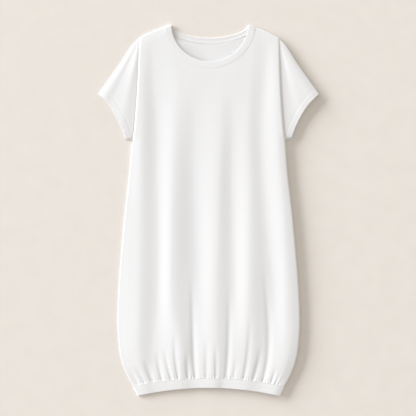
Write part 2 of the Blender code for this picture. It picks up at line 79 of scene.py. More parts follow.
SHOULDER_LINE = ((120, 7), (151, 18.5), (184, 34.5))
SLEEVE_TOP = ((184, 34.5), (205, 57), (237, 106), (291.5, 183))
ARMHOLE_FOLD = ((184, 34.5), (186.5, 93), (188, 132), (190, 172), (193.5, 225), (198, 278), (202, 307))
CUFF = {
    "front": ((291.5, 183), (263, 211), (242, 243), (227, 274), (216.5, 303)),
    "back": ((291.5, 183), (264, 212), (246, 245), (231, 277), (221, 304)),
}
SIDE_SEAM = (
    (202, 307), (209, 395), (220, 490), (229, 586), (237, 681),
    (241, 777), (238, 843), (230, 890), (214, 932), (200, 957.2),
)
print("length", LENGTH, "m, hem", 2 * HEM_HALF_BOTTOM, "m across")

# %% [markdown]
# ## Smooth lines
# A pattern cutter draws an edge through a few marks with a flexible curve. A chain of cubics does
# the same: it passes through every mark, and its direction there is set by the marks on either side.
# The points are then spread evenly, because an even line makes an even grid.

# %% Lines through marks
CURVE_STEPS, ROUND_STEPS = 32, 601  # points between two marks, and on a round neckline


def arc_length(line):
    """The length along a line of points: the running sum of the distances between neighbours."""
    return np.concatenate(([0.0], np.cumsum(np.linalg.norm(np.diff(line, axis=0), axis=1))))


def shares_of(line):
    """How far along the line each point lies, from 0 to 1."""
    return arc_length(line) / arc_length(line)[-1]


def even_steps(line, samples):
    """The same line at even steps, or at the given shares of its length."""
    shares = np.linspace(0, 1, samples) if np.isscalar(samples) else np.asarray(samples)
    return np.column_stack([np.interp(shares, shares_of(line), part) for part in line.T])


def smooth_line(marks, samples):
    """A curve through marks: between two of them, b and c, a cubic with slopes (c-a)/2 and (d-b)/2."""
    p = np.array(marks, float) * MM
    p = np.vstack((2 * p[0] - p[1], p, 2 * p[-1] - p[-2]))
    a, b, c, d = (p[k : len(p) - 3 + k, None] for k in range(4))
    t = np.linspace(0, 1, CURVE_STEPS, endpoint=False)[None, :, None]
    cubic = 2 * b + (c - a) * t + (2 * a - 5 * b + 4 * c - d) * t**2 + (3 * b - a - 3 * c + d) * t**3
    return even_steps(np.vstack((0.5 * cubic.reshape(-1, 2), p[-2])), samples)


def neck_curve(half, top, drop, power, samples):
    """A superellipse from right to left: |x / half|^power + |depth / drop|^power = 1, below the top."""
    angle = np.linspace(0, math.pi, ROUND_STEPS)
    x = half * np.sign(np.cos(angle)) * np.abs(np.cos(angle)) ** (2 / power)
    return even_steps(np.column_stack((x, top + drop * np.abs(np.sin(angle)) ** (2 / power))), samples)


def neck_seam(side, samples):
    """Where a panel is sewn to the neck band."""
    roundness = NECK_SEAM_ROUNDNESS[side]
    return neck_curve(NECK_SEAM_HALF, NECK_SEAM_TOP, NECK_SEAM_DROP[side], roundness, samples)


def hem_row(half, side_depth, shares):
    """A row across the hem: a parabola that rises by the same amount in the middle."""
    return np.column_stack((half * shares, side_depth - HEM_RISE * (1 - shares**2)))


def left_side(line):
    """The mirror image of a line on the right half."""
    return line * (-1.0, 1.0)


print("side seam", round(1000 * arc_length(smooth_line(SIDE_SEAM, 200))[-1]), "mm long")

# %% [markdown]
# ## How high the cloth lies
# Laid flat, the front touches the back at the side folds, the shoulders and the sleeves' edges, and
# between them it stands a few millimetres proud in long soft folds. One function gives this height
# for any place on the dress. It could also come from a cloth simulation, but the folds of this
# dress were smoothed by hand and have known places, so each is a row in a table. The first and the
# last row run along the folded sides themselves.
# The front lies a little lower on its left than on its right, and it sinks softly towards its
# folded edges. The folds on its left are round, so their foot is tucked about a millimetre under.
# The back is nearly flat, apart from low gathers and one soft billow inside the left of the neck.

# %% Fold tables
FOLD_DEPTHS = (40, 140, 250, 410, 545, 755, 875, 940)
FOLDS = (
    # name, places, heights
    ("left side", (-186, -192, -200, -209, -224, -240, -232, -206),
     (7.4, 7.9, 7.9, 7.4, 7.1, 6.3, 6.6, 6.7)),
    ("left edge", (-170, -178, -180, -180, -181, -184, -184, -172),
     (7.4, 7.9, 8.2, 8.2, 8.4, 8.8, 8.6, 7.2)),
    ("trough 1", (-152, -146, -138, -138, -136, -139, -148, -150),
     (7.4, 6.7, 6.0, 6.2, 6.6, 6.9, 7.3, 6.6)),
    ("crest 2", (-97, -78, -86, -94, -97, -94, -74, -80),
     (7.7, 7.9, 8.0, 8.6, 9.2, 9.7, 9.7, 7.4)),
    ("trough 2", (-44, -30, -36, -38, -34, -34, -40, -43),
     (7.8, 7.9, 7.0, 5.8, 5.7, 7.0, 7.7, 6.2)),
    ("crest 3", (28, 28, 30, 24, 22, 17, 18, 15),
     (7.8, 7.9, 8.1, 8.0, 8.4, 9.4, 9.4, 7.4)),
    ("trough 3", (57, 60, 63, 62, 63, 62, 52, 41),
     (7.8, 7.9, 7.3, 6.0, 6.2, 7.3, 7.9, 6.2)),
    ("crest 4", (107, 104, 102, 107, 108, 105, 102, 98),
     (7.7, 7.8, 7.9, 7.8, 8.7, 9.6, 9.0, 7.2)),
    ("trough 4", (150, 145, 138, 143, 154, 167, 154, 136),
     (7.4, 6.8, 6.6, 6.2, 6.4, 6.4, 7.0, 6.3)),
    ("right edge", (172, 181, 184, 193, 203, 211, 206, 184),
     (7.4, 8.2, 8.6, 8.6, 8.9, 8.7, 8.6, 7.2)),
    ("right side", (188, 193, 201, 210, 224, 240, 233, 207),
     (7.4, 8.2, 8.4, 8.5, 8.8, 8.2, 7.9, 6.5)),
)
SLEEVE_FOLDS = (
    # share of the way from the fold to the sleeve's top, height on the right, height on the left
    (0.00, 6.0, 7.3), (0.24, 5.9, 7.9), (0.45, 6.8, 7.1),
    (0.62, 7.2, 6.6), (0.84, 7.4, 6.7), (1.00, 6.9, 5.9),
)
SLEEVE_FOLD_REACH, SHOULDER_LEVEL = 0.090, 0.0066
CREASE_DEPTH, CREASE_WIDTH = 0.0004, 0.0022
GATHERS = (
    # place at the band, how far its top end leans to the right, length, depth, half width at half depth
    (-184, -4, 42, 0.8, 5.6), (-166, -6, 52, 0.9, 6.0), (-144, -3, 64, 1.0, 5.8), (-119, 3, 80, 0.9, 4.4),
    (-95, -5, 84, 0.8, 3.4), (-77, 1, 125, 0.9, 4.2), (-53, 3, 66, 1.0, 3.8), (-34, -4, 280, 1.0, 4.8),
    (-7, 2, 110, 0.7, 4.6), (17, -2, 92, 0.9, 3.8), (42, 2, 240, 0.9, 4.4), (60, 2, 56, 0.5, 3.6),
    (86, 4, 170, 0.9, 4.6), (110, 5, 92, 1.0, 4.2), (136, -12, 300, 0.9, 5.0), (159, -2, 40, 0.8, 3.6),
    (172, -2, 34, 0.5, 3.2), (183, -2, 26, 0.4, 3.0),
)
GATHER_REACH = 0.32  # no gather is longer than this
FLUTE_SIDES = (0.85, 1.30)  # steep on its left side, gentle on its right
FLUTE_PINCH, FLUTE_NARROW = 0.012, 0.35  # beside the band a gather is this much narrower
LEFT_ROLL, RIGHT_ROLL, CREST_ROLL = 0.0004, 0.0022, 0.0045  # how far in a fold has risen
LEFT_FALL, RIGHT_FALL, EDGE_FALL_REACH = 0.0006, 0.0010, 0.024  # it also sinks softly towards its edges
EDGE_HEIGHT = 2 * CLOTH  # outer face of the front's edge, on the back's edge
LAY_LEAN, LAY_LEAN_REACH, LAY_SINK = 0.0025, 0.2, 0.0011  # lower on the left, higher on the right
LEFT_TUCK = 0.0011  # the left folds are round, and their lower half lies this far inside the outline
SIDE_INWARDS, TOP_INWARDS = (1.0, 0.0), (0.6, 0.8)  # from the left side and from the sleeve's top
BELL = 0.69  # about the logarithm of 2, so that a gather is half as deep at its half width

# fine puckers at the hem seam, whose pitch and depth drift along it
PUCKER_DEPTH, PUCKER_REACH, PUCKER_PITCH = 0.0009, 0.0080, 0.0076
PUCKER_DRIFT, PUCKER_DRIFT_REACH = 2.0, 0.017
PUCKER_EVEN, PUCKER_UNEVEN, PUCKER_UNEVEN_REACH = 0.65, 0.35, 0.0071
SEAM_LIFT, SEAM_LIFT_REACH = 0.6, 0.0026  # gathers and puckers are shallower where they meet the band

# a sleeve's turned hem: one more layer, pressed thin, and a groove along the stitches
TURNED_STEP, TURNED_STEP_REACH = 0.0001, 0.002
GROOVE_DEPTH, GROOVE_WIDTH = 0.0002, 0.0014

# the back: soft folds, the front's gathers mirrored and lower, a rise beside the thicker neck band,
# and a billow inside the neck's left that keeps clear of the seam
BACK_ROLL, BACK_GATHERS = 0.02, 0.35
BACK_FOLD_HEIGHT, BACK_FOLD_ACROSS, BACK_FOLD_SWAY, BACK_FOLD_ALONG = 0.0003, 0.031, 1.3, 0.19
NECK_RISE, NECK_RISE_REACH = 0.0002, 0.016
BILLOW, BILLOW_REACH, BILLOW_CLEAR, BILLOW_SPAN = 0.0028, 0.022, 0.012, 0.075

SIDE_LINE = smooth_line(SIDE_SEAM, 400)
FOLD_LINE = smooth_line(ARMHOLE_FOLD, 120)
TOP_EDGE = np.vstack((smooth_line(SHOULDER_LINE, 12), smooth_line(SLEEVE_TOP, 30)[1:]))
SIDE_EDGE = np.vstack((np.array(CUFF["front"][-1:]) * MM, smooth_line(SIDE_SEAM, 60)))
print(len(FOLDS), "folds and", len(GATHERS), "gathers")


# %% [markdown]
# ## The front, fold by fold
# Each kind of relief has its own function: the long folds of the body, the fan of folds in a sleeve,
# the gathers with their puckers, and the turned hem. The front's height adds them up, and the cloth
# rolls down to the back at its folded edges.

# %% Height of the front
def away_from(points, line):
    """Distance to a line: to the nearest place on each of its steps, and the least of these."""
    a, span = line[:-1], np.diff(line, axis=0)
    nearest = np.full(len(points), 1.0)
    for start, step in zip(a, span):
        share = np.clip((points - start) @ step / (step @ step), 0, 1)
        np.minimum(nearest, np.linalg.norm(points - start - share[:, None] * step, axis=1), out=nearest)
    return nearest


def rolled(distance, reach):
    """A quarter of an ellipse: 0 at a folded edge, 1 from the reach inwards, upright at the edge."""
    return np.sqrt(1 - (1 - np.clip(distance / reach, 0, 1)) ** 2)


def eased(share):
    """A smooth rise from 0 to 1: 3 s^2 - 2 s^3."""
    share = np.clip(share, 0, 1)
    return share * share * (3 - 2 * share)


def through(marks, values, at):
    """A smooth function through a table: cubics between entries, with slopes from the neighbours."""
    marks, values = np.array(marks), np.array(values)
    slopes = np.gradient(values, marks)
    k = np.clip(np.searchsorted(marks, at) - 1, 0, len(marks) - 2)
    step = marks[k + 1] - marks[k]
    t = np.clip((at - marks[k]) / step, 0, 1)
    start = (2 * t**3 - 3 * t**2 + 1) * values[k] + (t**3 - 2 * t**2 + t) * step * slopes[k]
    return start + (3 * t**2 - 2 * t**3) * values[k + 1] + (t**3 - t**2) * step * slopes[k + 1]


def along_fold(row, depth):
    """A fold's place or height, both in the tables' millimetres, at a depth in metres."""
    return through(FOLD_DEPTHS, row, depth / MM) * MM


def body_level(points):
    """Long folds: an eased step from each crest to the next trough, whose places wander with depth."""
    x, depth = points.T
    places = [along_fold(place, depth) for _, place, _ in FOLDS]
    levels = [along_fold(level, depth) for _, _, level in FOLDS]
    height = levels[0]
    for a, b, low, high in zip(places, places[1:], levels, levels[1:]):
        height = height + (high - low) * eased((x - a) / (b - a))
    return height


def sleeve_level(points, on_left):
    """Folds that fan out from the shoulder point: a smooth function of the angle, formed over a reach."""
    shoulder = np.array(SLEEVE_TOP[0]) * MM
    reach = points - shoulder
    angle = np.arctan2(reach[:, 0], reach[:, 1])
    low, high = (math.atan2(*(np.array(end) * MM - shoulder)) for end in (ARMHOLE_FOLD[-1], SLEEVE_TOP[-1]))
    share, right, left = np.array(SLEEVE_FOLDS).T
    at = np.clip((angle - low) / (high - low), 0, 1)
    level = np.where(on_left, through(share, left, at), through(share, right, at)) * MM
    formed = eased(np.linalg.norm(reach, axis=1) / SLEEVE_FOLD_REACH)
    crease = CREASE_DEPTH * np.exp(-((away_from(points, FOLD_LINE) / CREASE_WIDTH) ** 2))
    return SHOULDER_LEVEL + (level - SHOULDER_LEVEL - crease) * formed


def gather_relief(points):
    """Flutes above the band: a bell curve across each, narrow at the band, fading up its length."""
    x, depth = points.T
    half = np.interp(depth, SIDE_LINE[:, 1], SIDE_LINE[:, 0])
    at_band = x / half * HEM_HALF_TOP
    above = np.clip(HEM_TOP_DEPTH - HEM_RISE * (1 - (x / half) ** 2) - depth, 0, None)
    near = np.flatnonzero(above < GATHER_REACH)
    relief = np.zeros(len(points))
    narrowing = 1 - FLUTE_NARROW * np.exp(-above[near] / FLUTE_PINCH)
    for place, lean, length, deep, half_width in np.array(GATHERS) * MM:
        share = above[near] / length
        beside = at_band[near] - place - lean * share
        width = half_width * narrowing * np.where(beside < 0, *FLUTE_SIDES)
        groove = np.exp(-BELL * (beside / width) ** 2)
        relief[near] += deep * groove * np.clip(1 - share**2, 0, 1)
    phase = 2 * math.pi * at_band / PUCKER_PITCH + PUCKER_DRIFT * np.sin(at_band / PUCKER_DRIFT_REACH)
    uneven = PUCKER_EVEN + PUCKER_UNEVEN * np.sin(at_band / PUCKER_UNEVEN_REACH + 1.0)
    relief += PUCKER_DEPTH * uneven * (0.5 + 0.5 * np.sin(phase)) * np.exp(-((above / PUCKER_REACH) ** 2))
    return relief * (1 - SEAM_LIFT * np.exp(-((above / SEAM_LIFT_REACH) ** 2)))


def hem_stitch_groove(points):
    """The turned sleeve hem: a shallow step up towards the cuff and a groove along the stitches."""
    cuff = smooth_line(CUFF["front"], 60)
    inside = away_from(points, cuff)
    stitches = SLEEVE_HEM - HEM_TAPER * shares_along(points, cuff)
    beside = inside - stitches
    step = TURNED_STEP * (1 - eased(beside / TURNED_STEP_REACH + 0.5))
    return step - GROOVE_DEPTH * np.exp(-((beside / GROOVE_WIDTH) ** 2))


def shares_along(points, cuff):
    """How far down the cuff a place lies, from 0 at the sleeve's top to 1 at the underarm."""
    return np.clip((points[:, 1] - cuff[0, 1]) / (cuff[-1, 1] - cuff[0, 1]), 0, 1)


def edge_fall(x, from_edge):
    """How far the cloth sinks towards a folded edge: the square of the share of the reach that is left."""
    return np.where(x < 0, LEFT_FALL, RIGHT_FALL) * np.clip(1 - from_edge / EDGE_FALL_REACH, 0, 1) ** 2


def front_height(points):
    """Height of the front's outer face: sleeve, then body rising from the armhole fold, then its edges."""
    right = np.column_stack((np.abs(points[:, 0]), points[:, 1]))
    below_arm = right[:, 1] >= UNDERARM_DEPTH
    beyond_fold = right[:, 0] > np.interp(right[:, 1], FOLD_LINE[:, 1], FOLD_LINE[:, 0])
    in_sleeve = beyond_fold & ~below_arm
    lean = LAY_LEAN * np.clip(points[:, 0] / LAY_LEAN_REACH, -1, 1) - LAY_SINK
    crest = np.where(below_arm, 1.0, rolled(away_from(right, FOLD_LINE), CREST_ROLL))
    crest = np.where(in_sleeve, 0.0, crest)
    sleeve = sleeve_level(right, points[:, 0] < 0) + hem_stitch_groove(right)
    body = body_level(points) - gather_relief(points)
    level = sleeve + (body - sleeve) * crest + PANEL_WALL + lean
    from_top, from_side = away_from(right, TOP_EDGE), away_from(right, SIDE_EDGE)
    fall = edge_fall(points[:, 0], np.minimum(from_top, from_side))
    roll = np.where(points[:, 0] < 0, LEFT_ROLL, RIGHT_ROLL)
    top, side = rolled(from_top, roll), rolled(from_side, roll)
    return EDGE_HEIGHT + (level - fall - EDGE_HEIGHT) * top * side


chest = np.array([[0.0, 0.25], [0.0, 0.75]])
print("front height on the centre line in mm:", np.round(1000 * front_height(chest), 1))

# %% [markdown]
# ## The back, and the way into the frame
# Little of the back shows, a strip inside the neckline and a narrow edge at the cuffs, but it is a
# full panel. One function then turns places and heights into points of the frame, for the panels,
# bands and stitches alike.

# %% Height of the back
def back_height(points):
    """The back lies on the floor: low gathers, soft folds and the billow stand off it, and no edge does."""
    right = np.column_stack((np.abs(points[:, 0]), points[:, 1]))
    inside = rolled(np.minimum(away_from(right, TOP_EDGE), away_from(right, SIDE_EDGE)), BACK_ROLL)
    sway = BACK_FOLD_SWAY * np.sin(points[:, 1] / BACK_FOLD_ALONG)
    folds = BACK_FOLD_HEIGHT * (1 + np.sin(points[:, 0] / BACK_FOLD_ACROSS + sway))
    mirrored = gather_relief(left_side(points)) * BACK_GATHERS
    seam = neck_seam("back", 80)
    rise = NECK_RISE * np.exp(-((away_from(points, seam) / NECK_RISE_REACH) ** 2))
    opening = neck_curve(NECK_HALF, 0.0, NECK_DROP["front"], NECK_ROUNDNESS["front"], 80)
    clear = eased((points[:, 1] - np.interp(points[:, 0], *seam[::-1].T)) / BILLOW_CLEAR)
    near = np.exp(-((away_from(points, opening) / BILLOW_REACH) ** 2))
    billow = BILLOW * near * clear * eased(-points[:, 0] / BILLOW_SPAN)
    return (folds + mirrored + rise + billow) * inside


def in_frame(points, height):
    """Places and heights as points of the frame: depth runs down -Y, and the neck leans to the right."""
    x, depth = points.T
    middle = np.clip(1 - (x / NECK_LEAN_HALF) ** 2, 0, 1)
    lean = NECK_LEAN * np.exp(-((depth / NECK_LEAN_DEPTH) ** 2)) * middle
    return np.column_stack((x + lean, CENTRE_DEPTH - depth, height + np.zeros(len(x))))


print("back height on the centre line in mm:", np.round(1000 * back_height(chest), 1))

# %% [markdown]
# ## Panels as patches
# A panel is too odd in outline for one grid, so it is divided as a cutter would chalk it: two
# shoulders, two sleeves, a chest, a skirt and the strip that is gathered. Each patch is spread
# between its four edges like a blend, and neighbours share the points of their common edge. The
# long rows run along the gathers, so that each groove has points in its bottom.

# %% Patches
EDGE_COLUMNS = (0.0, 0.15, 0.4, 0.8, 1.5, 3.0, 5.2, 8.4, 12.5)
STEPS_IN_GATHER = 14
NECK_CORNER_PLACE, NECK_CORNER_SHARE = 86, 0.72
HOLDING_SHARE = 0.004  # a row this close to a cut edge keeps the edge's shading narrow
SHOULDER_ROWS, CHEST_ROWS, SKIRT_ROWS, GATHER_ROWS, SLEEVE_COLUMNS = 30, 35, 44, 50, 50
SHOULDER_CROWDING, GATHER_CROWDING, SLEEVE_CROWDING = 1.7, 1.5, 0.11  # closer rows near one end
CHEST_START = 0.02  # the first full row below the shoulder's holding rows
FINE_SEAM, FINE_FOLD, FINE_SIDE = 4001, 1600, 3200  # points of an edge before it is cut into rows
MERGE_STEP = 0.000002


def between(top, bottom, left, right):
    """A blended patch: rows from top to bottom plus columns from left to right, less the corners."""
    u = 0.5 * (shares_of(top) + shares_of(bottom))[None, :, None]
    v = 0.5 * (shares_of(left) + shares_of(right))[:, None, None]
    ruled = (1 - v) * top + v * bottom + (1 - u) * left[:, None] + u * right[:, None]
    corners = (1 - v) * ((1 - u) * top[0] + u * top[-1]) + v * ((1 - u) * bottom[0] + u * bottom[-1])
    return ruled - corners


def column_shares(half):
    """Where the columns cross a row of this half width, from -1 to 1: along gathers and folded sides."""
    gathers = np.array([row[0] for row in GATHERS]) * MM / HEM_HALF_TOP
    steps = np.arange(STEPS_IN_GATHER) / STEPS_IN_GATHER
    fine = (gathers[:-1, None] + np.diff(gathers)[:, None] * steps).ravel()
    sides = 1 - np.array(EDGE_COLUMNS) * MM / half
    return np.concatenate((-sides, fine, gathers[-1:], sides[::-1]))


def panel_patches(side):
    """The patches of the front or the back, each a grid of places."""
    columns = column_shares(SIDE_SEAM[0][0] * MM)
    corner = int(np.argmin(np.abs(columns * HEM_HALF_TOP - NECK_CORNER_PLACE * MM)))
    outer = (columns[corner:] - columns[corner]) / (1 - columns[corner])
    outer[1] = HOLDING_SHARE
    shoulder_rows = np.linspace(0, 1, SHOULDER_ROWS) ** SHOULDER_CROWDING
    seam = neck_seam(side, FINE_SEAM)
    turn = int(np.argmax(seam[:, 0] < NECK_CORNER_SHARE * NECK_SEAM_HALF))
    neck_side = even_steps(seam[: turn + 1], shoulder_rows)
    neck_base = even_steps(seam[turn : len(seam) - turn][::-1], 2 * corner - len(columns) + 2)
    fold = smooth_line(ARMHOLE_FOLD, FINE_FOLD)
    holding_rows = [0.0, 0.5 * HOLDING_SHARE, 2 * HOLDING_SHARE]
    chest_rows = np.concatenate((holding_rows, np.linspace(CHEST_START, 1, CHEST_ROWS)))
    yoke = int(np.argmax(fold[:, 1] > YOKE_DEPTH))
    fold_upper = even_steps(fold[: yoke + 1], shoulder_rows)
    fold_lower = even_steps(fold[yoke:], chest_rows)
    yoke_row = even_steps(np.vstack((neck_side[-1], fold_upper[-1])), outer)
    shoulder = between(smooth_line(SHOULDER_LINE, outer), yoke_row, neck_side, fold_upper)

    underarm = np.column_stack((columns * SIDE_SEAM[0][0] * MM, np.full(len(columns), UNDERARM_DEPTH)))
    chest_top = np.vstack((left_side(yoke_row)[::-1], neck_base[1:-1], yoke_row))
    chest = between(chest_top, underarm, left_side(fold_lower), fold_lower)

    fold_side = np.vstack((fold_upper, fold_lower[1:]))
    cuff = smooth_line(CUFF[side], shares_of(fold_side))
    columns_out = np.linspace(0, 1, SLEEVE_COLUMNS)
    columns_out = columns_out - np.sin(2 * math.pi * columns_out) * SLEEVE_CROWDING
    columns_out[-2] = 1 - HOLDING_SHARE
    underside = even_steps(np.vstack((fold_side[-1], cuff[-1])), columns_out)
    sleeve = between(smooth_line(SLEEVE_TOP, columns_out), underside, fold_side, cuff)

    seam_line = smooth_line(SIDE_SEAM, FINE_SIDE)
    start = int(np.argmax(seam_line[:, 1] > seam_line[-1, 1] - GATHER_ZONE))
    skirt_side = even_steps(seam_line[: start + 1], SKIRT_ROWS)
    gather_rows = 1 - np.linspace(1, 0, GATHER_ROWS) ** GATHER_CROWDING
    gather_side = even_steps(seam_line[start:], gather_rows)
    skirt_base = hem_row(*skirt_side[-1], column_shares(skirt_side[-1, 0]))
    hem = hem_row(*gather_side[-1], column_shares(gather_side[-1, 0]))
    skirt = between(underarm, skirt_base, left_side(skirt_side), skirt_side)
    gathered = between(skirt_base, hem, left_side(gather_side), gather_side)
    lefts = [left_side(patch)[:, ::-1] for patch in (shoulder, sleeve)]
    return [shoulder, sleeve, *lefts, chest, skirt, gathered]


print("patches of a panel:", [patch.shape[:2] for patch in panel_patches("front")])

# %% [markdown]
# ## From patches to cloth
# A grid of points needs only its quads to become a surface. The patches of a panel are stacked, their
# common points are merged, and the height function lifts each place off the floor.

# %% Surfaces
def grid_faces(rows, columns, first=0, closed_rows=False, closed_columns=False):
    """The quads of a grid, numbered row by row; a closed direction joins its last line to its first."""
    r = np.arange(rows if closed_rows else rows - 1)[:, None]
    c = np.arange(columns if closed_columns else columns - 1)[None, :]
    down, right = (r + 1) % rows, (c + 1) % columns
    corners = (r * columns + c, down * columns + c, down * columns + right, r * columns + right)
    return first + np.stack([np.broadcast_to(k, (r.size, c.size)) for k in corners], -1).reshape(-1, 4)


def new_piece(name, points, faces, material, uv=None):
    """A mesh object at the origin from arrays of points and faces, shaded smooth."""
    mesh = bpy.data.meshes.new(name)
    mesh.from_pydata(points.tolist(), [], faces.tolist())
    mesh.shade_smooth()
    corners = np.array([loop.vertex_index for loop in mesh.loops])
    places = points[corners, :2] if uv is None else uv[corners]
    mesh.uv_layers.new(name="cloth").data.foreach_set("uv", places.astype(np.float32).ravel())
    mesh.materials.append(material)
    piece = bpy.data.objects.new(name, mesh)
    bpy.context.scene.collection.objects.link(piece)
    return piece


def tucked(places):
    """The front's places, with the foot of its left folds moved inwards, at a right angle to the edge."""
    right = np.column_stack((np.abs(places[:, 0]), places[:, 1]))
    from_side, from_top = away_from(right, SIDE_EDGE), away_from(right, TOP_EDGE)
    beside = LEFT_TUCK * (1 - rolled(from_side, LEFT_ROLL))[:, None] * SIDE_INWARDS
    below = LEFT_TUCK * (1 - rolled(from_top, LEFT_ROLL))[:, None] * TOP_INWARDS
    return places + np.where(places[:, :1] < 0, beside + below, 0.0)


def panel_arrays(side, height_of):
    """All patches of a panel as one array of points and one of faces, with shared points merged."""
    points, faces, first = [], [], 0
    for patch in panel_patches(side):
        rows, columns = patch.shape[:2]
        points.append(patch.reshape(-1, 2))
        faces.append(grid_faces(rows, columns, first))
        first += rows * columns
    places, faces = np.vstack(points), np.vstack(faces)
    cells = np.round(places / MERGE_STEP + 0.25).astype(int)  # shifted: no row lies between two cells
    _, keep, same = np.unique(cells, axis=0, return_index=True, return_inverse=True)
    places = places[keep]
    heights = height_of(places)
    if side == "front":
        places = tucked(places)
    return in_frame(places, heights), same.reshape(-1)[faces]


print("quads between 3 rows of 4 points:", len(grid_faces(3, 4)))

# %% [markdown]
# ## Shader maths as expressions
# Patterns such as knit stitches are sums of waves. Written as Python expressions they stay readable,
# so one small class wraps a socket: each operator on it adds a Math node, and one method adds any
# other node.

# %% A socket that can be calculated with
class Wire:
    """An output socket of a material. Arithmetic adds Math nodes; node() adds any other node."""

    def __init__(self, tree, socket=None):
        self.tree, self.socket = tree, socket

    def node(self, kind, settings, inputs, output=0):
        """Adds a node of this type: first its settings, then the values or links of its sockets."""
        made = self.tree.nodes.new(kind)
        for name, value in settings.items():
            setattr(made, name, value)
        for name, value in inputs.items():
            if isinstance(value, Wire):
                self.tree.links.new(made.inputs[name], value.socket)
            else:
                made.inputs[name].default_value = value
        return Wire(self.tree, made.outputs[output])

    def math(self, operation, *values):
        return self.node("ShaderNodeMath", {"operation": operation}, dict(enumerate(values)))

    def __add__(self, other):
        return self.math("ADD", self, other)

    def __sub__(self, other):
        return self.math("SUBTRACT", self, other)

    def __rsub__(self, other):
        return self.math("SUBTRACT", other, self)

    def __mul__(self, other):
        return self.math("MULTIPLY", self, other)

    __radd__, __rmul__ = __add__, __mul__

    def sine(self):
        return self.math("SINE", self)

    def size(self):
        return self.math("ABSOLUTE", self)


print("a wire can:", [name for name in vars(Wire) if not name.startswith("__")])

# %% [markdown]
# ## White cotton
# All the cloth is one matte white, told apart by its knit: fine columns of stitches on the panels and
# upright ribs on the bands. The knit is relief in the shading, laid along the cloth's own map.

# %% Jersey, rib and thread
# soft random patterns, as features to the metre and levels of detail
CLOUDS, GRAIN, FUZZ, SAND = (9.0, 3.0), (330.0, 2.0), (900.0, 2.0), (22.0, 8.0)
CLOUD_SHARE, GRAIN_SHARE = 0.65, 0.35
FUZZ_RELIEF, FUZZ_SHINE = 0.25, 0.08
WALE, COURSE, STITCH_SLANT = 0.0011, 0.0008, 1.6
COLUMN_RELIEF, ROW_RELIEF = 0.75, 0.25
RIB_PITCH, RIB_ROW_RELIEF = 0.0016, 0.15
JERSEY_BUMP, RIB_BUMP = 0.00003, 0.00005


def noise(wire, where, scale, detail):
    """A soft random pattern of this many features to the metre, from 0 to 1."""
    return wire.node("ShaderNodeTexNoise", {}, {"Vector": where, "Scale": scale, "Detail": detail})


def mixed(wire, factor, colour_a, colour_b):
    """A colour between two, by a factor."""
    inputs = {"Factor": factor, 6: (*colour_a, 1.0), 7: (*colour_b, 1.0)}
    return wire.node("ShaderNodeMix", {"data_type": "RGBA"}, inputs, output=2)


def cloth_material(name, slot_colours, knit, bump_depth, roughness=0.9, sheen=0.25):
    """A matte knitted cotton: two near tones in soft clouds, and a bump of stitches from the UV map."""
    material = bpy.data.materials.new(name)
    material.use_nodes = True
    tree = material.node_tree
    shader = tree.nodes["Principled BSDF"]
    start = Wire(tree)
    where = start.node("ShaderNodeTexCoord", {}, {}, output="Object")
    uv = start.node("ShaderNodeUVMap", {"uv_map": "cloth"}, {})
    split = uv.node("ShaderNodeSeparateXYZ", {}, {0: uv})
    across, along = split, Wire(tree, split.socket.node.outputs[1])
    clouds, grain, fuzz = (noise(start, where, *pattern) for pattern in (CLOUDS, GRAIN, FUZZ))
    tone = mixed(start, clouds * CLOUD_SHARE + grain * GRAIN_SHARE, *slot_colours)
    tree.links.new(shader.inputs["Base Color"], tone.socket)
    height = knit(across, along) + fuzz * FUZZ_RELIEF
    bump = start.node("ShaderNodeBump", {}, {"Height": height, "Distance": bump_depth, "Strength": 1.0})
    tree.links.new(shader.inputs["Normal"], bump.socket)
    dullness = fuzz * FUZZ_SHINE + (roughness - 0.5 * FUZZ_SHINE)
    tree.links.new(shader.inputs["Roughness"], dullness.socket)
    shader.inputs["Sheen Weight"].default_value = sheen
    shader.inputs["Sheen Roughness"].default_value = 0.5
    shader.inputs["Specular IOR Level"].default_value = 0.2
    return material


def jersey_knit(across, along):
    """Columns of V stitches: a wave across each column, and rows that slant away from its middle."""
    column = (across * (2 * math.pi / WALE)).sine()
    slanted = (along * (2 * math.pi / COURSE) + column.size() * STITCH_SLANT).sine()
    return column.size() * COLUMN_RELIEF + slanted * ROW_RELIEF


def rib_knit(across, along):
    """Upright ribs: a strong wave across, and a faint one along for the courses."""
    ribs = (across * (2 * math.pi / RIB_PITCH)).sine().size()
    return ribs + (along * (2 * math.pi / COURSE)).sine() * RIB_ROW_RELIEF


WHITES = ((0.845, 0.839, 0.841), (0.873, 0.867, 0.869))
THREAD_WHITES = ((0.86, 0.855, 0.84), (0.90, 0.895, 0.885))
JERSEY = cloth_material("white_jersey", WHITES, jersey_knit, JERSEY_BUMP)
RIB = cloth_material("white_rib", WHITES, rib_knit, RIB_BUMP)
THREAD = cloth_material("white_thread", THREAD_WHITES, rib_knit, RIB_BUMP, roughness=0.6, sheen=0.1)
print("materials:", JERSEY.name, RIB.name, THREAD.name)

# %% [markdown]
# ## Front and back
# The two panels are the same patches with different necklines and heights. Each gets a wall as
# thick as jersey, inwards from the front's outer face and upwards from the back's underside, so that
# the two rest on each other along their closed edges.

# %% The two panels
def add_wall(piece, thickness, offset):
    """Gives a surface its thickness: offset -1 builds it inwards from the surface, 1 outwards."""
    wall = piece.modifiers.new("Wall", "SOLIDIFY")
    wall.thickness = thickness
    wall.offset = offset
    wall.use_even_offset = False


front = new_piece("front_cloth", *panel_arrays("front", front_height), JERSEY)
add_wall(front, CLOTH, -1.0)
back = new_piece("back_cloth", *panel_arrays("back", back_height), JERSEY)
add_wall(back, CLOTH, 1.0)
print("faces on one side:", len(front.data.polygons), len(back.data.polygons))

# %% [markdown]
# ## Bands
# A rib band is a strip folded in half and sewn on as a ring. Laid flat, its front half lies over its
# back half and it turns sharply at both ends. It is a rounded section carried round this path.

